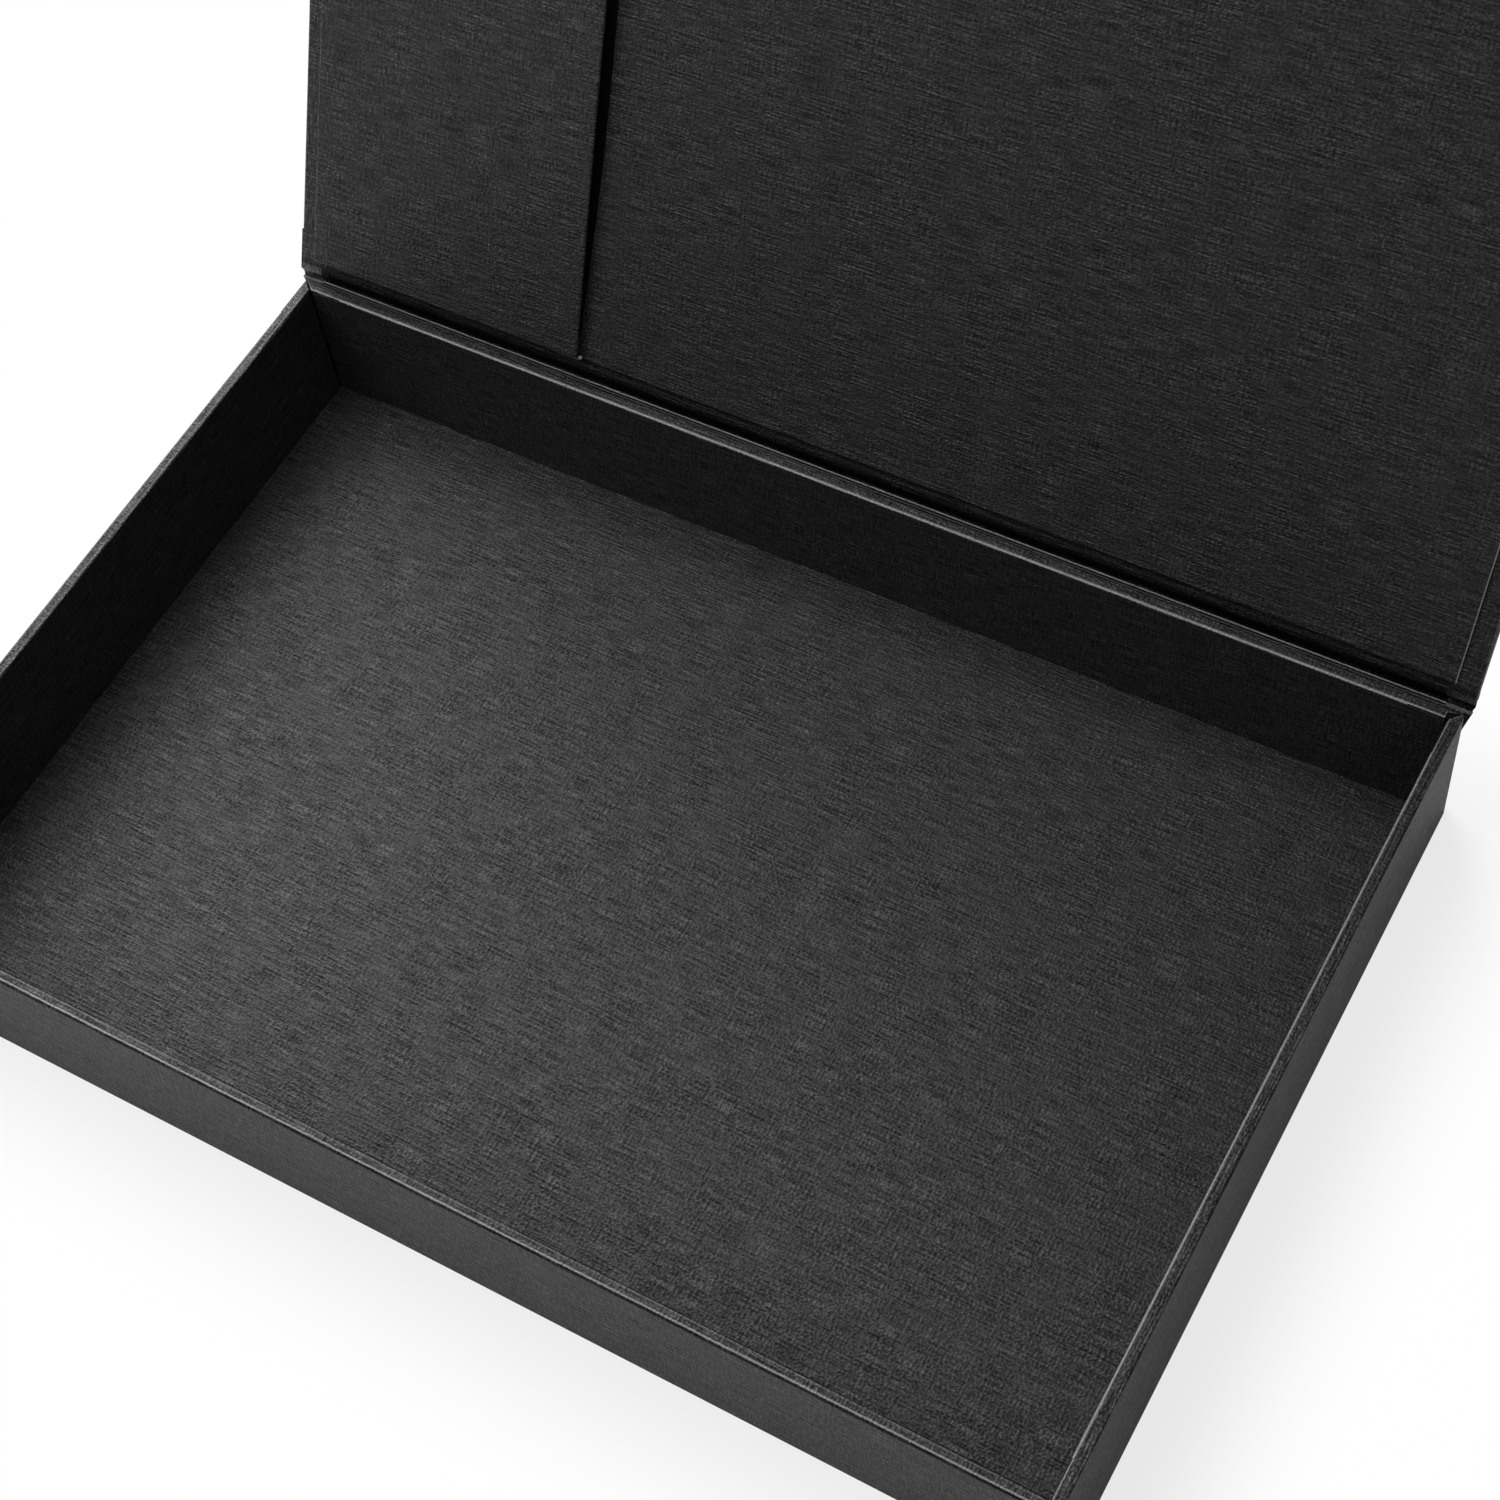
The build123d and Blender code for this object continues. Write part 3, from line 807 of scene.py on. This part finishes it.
class INVITATION_OT_pocket(BoxPieceOperator, bpy.types.Operator):
    """Fold the pocket's card down onto three tabs and hem its open edge"""

    bl_idname = "invitation.pocket"
    bl_label = "Lid pocket"

    def execute(self, context):
        lift = settings()[1].pocket_lift / MM
        low, high = local_box("pocket_panel", LID_PLACE)
        # The open edge is cut a little proud of the tabs under it
        high.x += 0.85
        base = local_box("lid_lining", LID_PLACE)[1].z
        foot = base + 0.02
        hem = local_box("pocket_hem", LID_PLACE)
        hem_width = hem[1].x - hem[0].x
        hem_start = high.x - hem_width + 0.1
        # Radii of the card's folds and of its hem, which lies a step above the panel
        radius, bend, step = 0.7, 0.36, 0.03
        across, lengthwise = 14, 22
        edge = [radius * (1 - math.cos(math.radians(15 * k))) for k in range(7)]
        # Columns from the folded left edge to the hem, each with its drop below the panel
        columns = [(low.x + e, 0.0) for e in edge]
        wide = high.x - low.x
        columns += [(low.x + radius + (wide - radius - hem_width - 0.3) * k / across, 0.0)
                    for k in range(1, across + 1)]
        columns += [(x, -step) for x in (
            hem_start, hem_start + 0.3, high.x - bend - 0.4, high.x - bend - 0.1)]
        for k in range(1, 7):
            angle = math.radians(180 * k / 6)
            columns.append((high.x - bend + bend * math.sin(angle),
                            -step + bend - bend * math.cos(angle)))
        columns.append((high.x - hem_width, 2 * bend - 0.05))
        along = [low.y + e for e in edge]
        span = high.y - low.y
        along += [low.y + radius + (span - 2 * radius) * k / lengthwise
                  for k in range(1, lengthwise)]
        along += [high.y - e for e in reversed(edge)]
        rows, laid, shares = [], [], []
        for y in along:
            from_end = min(y - low.y, high.y - y)
            end_rise = self.rise(from_end, radius)
            bow = math.sin(math.pi * (y - low.y) / span) ** 0.8
            row, spots, share, run = [], [], [], 0.0
            before = None
            for x, drop in columns:
                side_rise = self.rise(x - low.x, radius)
                way = min(max((x - low.x) / wide, 0.0), 1.0)
                top = high.z + lift * bow * way * way
                z = foot + (top - drop * end_rise - foot) * side_rise * end_rise
                point = Vector((x, y, z))
                run += (point - before).length if before else 0.0
                before = point
                row.append(point)
                spots.append((low.x + run, y))
                corner = from_end < radius * 0.6 and x > high.x - 0.6
                pressed = x > high.x - 0.4 or abs(x - hem_start) < 0.05
                share.append(1.0 if corner else 0.02 if pressed else 0.0)
            rows.append(row)
            laid.append(spots)
            shares.append(share)
        mesh = swept_sheet("pocket_card", rows, laid, shares, closed=False)
        if mesh.polygons[len(mesh.polygons) // 4].normal.z < 0:
            mesh.flip_normals()
        panel = new_object("pocket_card", mesh, LINING, LID_PLACE)
        thick = panel.modifiers.new("Card thickness", "SOLIDIFY")
        thick.thickness = CARD * MM
        thick.offset = -1.0
        panel.modifiers.move(1, 0)
        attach(panel, "lid")
        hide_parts("pocket_panel", "pocket_hem")
        self.inside(low, high, base)
        for node in ("pocket_side_tab", "pocket_rear_tab", "pocket_front_tab"):
            a, b = local_box(node, LID_PLACE)
            lo = (max(a.x, low.x + 0.4), max(a.y, low.y + 0.4), base + 0.01)
            hi = (b.x - 0.6, min(b.y, high.y - 0.4), base + 0.01 + CARD)
            tab = wrapped_slab(node + "_fold", lo, hi, 0.1, LINING, LID_PLACE, segments=2)
            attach(tab, "lid")
            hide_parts(node)
        return {"FINISHED"}

    def inside(self, low, high, base):
        """The unlit inside of the pocket, painted as shade: black paper on the lid card, just past
        the open edge.
        """
        count, margin, top, under = 24, 0.3, base + 0.04, base - 0.1
        span = high.y - low.y
        near = low.x + 1.0
        rows = []
        for k in range(count + 1):
            y = low.y + margin + (span - 2 * margin) * k / count
            # It reaches past the open edge in the middle, where the edge stands off most, as a
            # painted shadow cast by that edge
            proud = min(1.0, (math.sin(math.pi * k / count) * 1.25)) ** 0.8
            edge = high.x - 0.9 + 1.9 * proud
            rows.append([(near, y, top), (edge, y, top), (edge, y, under), (near, y, under)])
        laid = [[(x, y) for x, y, _ in row] + [(row[0][0], row[0][1])] for row in rows]
        mesh = swept_sheet("pocket_mouth_shade", rows, laid, [[0.0] * 4] * len(rows), closed=True)
        lining = new_object("pocket_mouth_shade", mesh, PAINTED_SHADE, LID_PLACE)
        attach(lining, "lid")
        # The card's white core shows as a bright dot where its folded corner is cut
        core = wrapped_slab("pocket_corner_core", (high.x - 0.35, low.y - 0.1, base + 0.02),
                            (high.x + 0.3, low.y + 0.45, base + 0.55), 0.1, "Cut card core",
                            LID_PLACE, segments=2)
        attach(core, "lid")

    def rise(self, distance, radius):
        """Share of its height that a fold has reached at a distance from the edge."""
        if distance >= radius:
            return 1.0
        return math.sqrt(max(0.0, 1 - (1 - distance / radius) ** 2))


class INVITATION_OT_flap(BoxPieceOperator, bpy.types.Operator):
    """Wrap the closing flap, line it and hinge it to the lid's front edge"""

    bl_idname = "invitation.flap"
    bl_label = "Closing flap"

    def execute(self, context):
        cover = wrapped_board("flap_paper", "flap_board", FLAP_PLACE)
        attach(cover, "flap")
        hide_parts("flap_cover")
        low, high = local_box("flap_lining", FLAP_PLACE)
        card = wrapped_slab("flap_card", low, high, 0.09, LINING, FLAP_PLACE, segments=3)
        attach(card, "flap")
        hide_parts("flap_lining")
        self.hinge()
        return {"FINISHED"}

    def hinge(self):
        """The two sheets of the flap's hinge, bent between the lid and the flap."""
        axis = LID_PLACE.inverted() @ FLAP_PLACE.translation / MM
        front = local_box("lid_board", LID_PLACE)[1]
        rear = local_box("flap_board", FLAP_PLACE)[0]
        c, s = math.cos(FLAP_FOLD), math.sin(FLAP_FOLD)

        def on_flap(y, z):
            return axis.y + y * c - z * s, axis.z + y * s + z * c

        # How far the papers reach from the gap, and how high they lie over each board
        lid_lap, flap_lap, outer_lap = 12, 9, 2.0
        lid_face, flap_face, back_face = front.z + 0.23, 2.22, -0.02
        lid_edge, flap_edge = front.y + 0.35, rear.y - 0.35
        # The inner paper's shares paint shade where it dips into the gap and a faint highlight on
        # its folds; the outer paper's bend is a little lighter
        inner = [
            (front.y - lid_lap, lid_face, 0, 0), (lid_edge, lid_face, 0.45, 0.15),
            (lid_edge, axis.z + 0.3, 0.3, -0.8), (axis.y + 0.1, axis.z + 0.28, 1.2, -0.8),
            (*on_flap(flap_edge, 0.3), 0.3, -0.8), (*on_flap(flap_edge, flap_face), 0.45, 0.15),
            (*on_flap(flap_edge + flap_lap, flap_face), 0, 0)]
        outer = [
            (front.y - outer_lap, axis.z + back_face, 0, 0), (axis.y, axis.z + back_face, 2.0, 0.1),
            (*on_flap(rear.y + outer_lap, back_face), 0, 0)]
        width = local_box("flap_hinge_strip", LID_PLACE)[1].x
        side = front.x + 0.15
        for name, corners, thickness, reach, nodes in (
                ("flap_hinge_paper", inner, WRAP, width, ("flap_hinge_strip",)),
                ("flap_outer_paper", outer, -WRAP, side, ())):
            path, rub_and_light = rounded_path(corners)
            outline = thick_sheet(path, thickness)
            mesh = swept_strip(name, outline, rub_and_light + rub_and_light[::-1], (-reach, reach))
            material = HINGING if nodes else WRAPPING
            piece = new_object(name, mesh, material, LID_PLACE)
            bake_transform(piece)
            if nodes:
                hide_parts(*nodes)


class INVITATION_OT_inner_parts(BoxPieceOperator, bpy.types.Operator):
    """Give the boards, base paper, steel discs and magnets their finishes"""

    bl_idname = "invitation.inner_parts"
    bl_label = "Boards and catch"

    def execute(self, context):
        materials = make_materials()
        for name, node in frame["nodes"].items():
            if node.hide_render:
                continue
            finish = BOARD if name.endswith("_board") else FINISHES[name]
            node.data.materials.clear()
            node.data.materials.append(materials[finish])
        return {"FINISHED"}


class INVITATION_OT_stage(bpy.types.Operator):
    """Set up the ground, the soft lamps, the room and the camera"""

    bl_idname = "invitation.stage"
    bl_label = "Stage"

    def execute(self, context):
        stage = settings()[2]
        scene = context.scene
        scene.view_settings.view_transform = "Standard"
        mesh = bpy.data.meshes.new("ground")
        reach, level = 4.0, -0.2 * MM
        mesh.from_pydata([(x * reach, y * reach, level) for x, y in (
            (-1, -1), (1, -1), (1, 1), (-1, 1))], [], [(0, 1, 2, 3)])
        ground = bpy.data.objects.new("ground", mesh)
        scene.collection.objects.link(ground)
        self.ground_material("White paper sweep", stage)
        mesh.materials.append(bpy.data.materials["White paper sweep"])
        self.room(scene, stage)
        target = Vector((0.0, 0.0, 0.03))
        # The gloss of the rim points back left, so the nearest softboxes stand there
        for name, power, way, distance, size in (
                ("Back left softbox", stage.back_light, (-0.55, 0.60, 0.58), 0.7, 0.5),
                ("Top softbox", stage.top_light, (-0.40, 0.10, 0.91), 0.6, 0.45),
                ("Front left softbox", stage.front_light, (-0.60, -0.35, 0.72), 0.7, 0.5),
                ("Front right softbox", stage.fill_light, (0.50, -0.50, 0.70), 1.3, 1.0)):
            lamp = bpy.data.lights.new(name, "AREA")
            lamp.shape = "SQUARE"
            lamp.size = size
            lamp.energy = power
            box = bpy.data.objects.new(name, lamp)
            scene.collection.objects.link(box)
            direction = Vector(way).normalized()
            box.location = target + direction * distance
            box.rotation_euler = direction.to_track_quat("Z", "Y").to_euler()
            box.visible_camera = False
        view = bpy.data.cameras.new("Camera")
        view.lens = stage.lens
        view.sensor_width = 36.0
        # The picture is cropped from a larger one: its middle is 80 and 20 pixels off the lens axis
        picture = 1500
        view.shift_x = 80 / picture
        view.shift_y = 20 / picture
        view.clip_start = 0.01
        camera = bpy.data.objects.new("Camera", view)
        camera.location = stage.camera_place
        camera.rotation_euler = stage.camera_turn
        scene.collection.objects.link(camera)
        scene.camera = camera
        return {"FINISHED"}

    def ground_material(self, name, stage):
        """Matt white paper, lightened where the camera or a reflection looks at it."""
        tree = new_material(name)
        paper = add_node(tree, "BsdfDiffuse", None, {"Color": linear(stage.ground)})
        glow = add_node(tree, "Emission", None, {"Color": linear("#FFFFFF"), "Strength": 1.0})
        path = add_node(tree, "LightPath")
        # Whiter to the eye with the distance from the tray, so that only its own shadow is grey
        shadow_reach, nearest, farthest, mirrored = 0.03, 0.77, 0.99, 0.21
        spot = add_node(tree, "SeparateXYZ", None, {0: own_place(tree)})
        apart = [maths(tree, "SUBTRACT", maths(tree, "ABSOLUTE", spot.outputs[i]), half * MM)
                 for i, half in ((0, HALF_WIDTH), (1, HALF_DEPTH))]
        seen = add_node(tree, "MapRange", {"interpolation_type": "SMOOTHSTEP"}, {
            "Value": maths(tree, "MAXIMUM", *apart), "From Max": shadow_reach,
            "To Min": nearest, "To Max": farthest}).outputs[0]
        share = maths(tree, "MULTIPLY_ADD", path.outputs["Is Camera Ray"], seen,
                      maths(tree, "MULTIPLY", path.outputs["Is Glossy Ray"], mirrored))
        mixed = add_node(tree, "MixShader", None, {
            0: share, 1: paper.outputs[0], 2: glow.outputs[0]})
        add_node(tree, "OutputMaterial", None, {"Surface": mixed.outputs[0]})

    def room(self, scene, stage):
        """White behind the object for the camera, and a plain pale room for its light."""
        world = bpy.data.worlds.new("Room")
        world.use_nodes = True
        tree = world.node_tree
        tree.nodes.clear()
        light, backdrop = [add_node(tree, "Background", None, {
            "Color": linear("#FFFFFF"), "Strength": strength})
            for strength in (stage.room_light, 1.0)]
        path = add_node(tree, "LightPath")
        mixed = add_node(tree, "MixShader", None, {
            0: path.outputs["Is Camera Ray"], 1: light.outputs[0], 2: backdrop.outputs[0]})
        add_node(tree, "OutputWorld", None, {"Surface": mixed.outputs[0]})
        scene.world = world


STEPS = (
    INVITATION_OT_tray_walls,
    INVITATION_OT_corner_papers,
    INVITATION_OT_tray_floor,
    INVITATION_OT_lid_hinge,
    INVITATION_OT_lid,
    INVITATION_OT_pocket,
    INVITATION_OT_flap,
    INVITATION_OT_inner_parts,
    INVITATION_OT_stage,
)


class INVITATION_PT_panel(bpy.types.Panel):
    """Lists the box's pieces and settings in the sidebar"""

    bl_idname = "INVITATION_PT_panel"
    bl_label = "Invitation box"
    bl_space_type = "VIEW_3D"
    bl_region_type = "UI"
    bl_category = "Invitation box"

    def draw(self, context):
        for group in settings():
            column = self.layout.column(align=True)
            for name in group.bl_rna.properties.keys():
                if name not in ("rna_type", "name"):
                    column.prop(group, name)
        for step in STEPS:
            self.layout.operator(step.bl_idname)


CLASSES = (PaperSettings, FoldSettings, StageSettings, *STEPS, INVITATION_PT_panel)


def register():
    """Adds the classes and the scene's settings."""
    for cls in CLASSES:
        bpy.utils.register_class(cls)
    bpy.types.Scene.box_papers = PointerProperty(type=PaperSettings)
    bpy.types.Scene.box_folds = PointerProperty(type=FoldSettings)
    bpy.types.Scene.box_stage = PointerProperty(type=StageSettings)


def unregister():
    """Removes the scene's settings and the classes."""
    del bpy.types.Scene.box_stage
    del bpy.types.Scene.box_folds
    del bpy.types.Scene.box_papers
    for cls in reversed(CLASSES):
        bpy.utils.unregister_class(cls)


def main():
    """Makes every piece in order."""
    register()
    for step in STEPS:
        getattr(bpy.ops.invitation, step.bl_idname.partition(".")[2])()


if __name__ == "__main__":
    main()
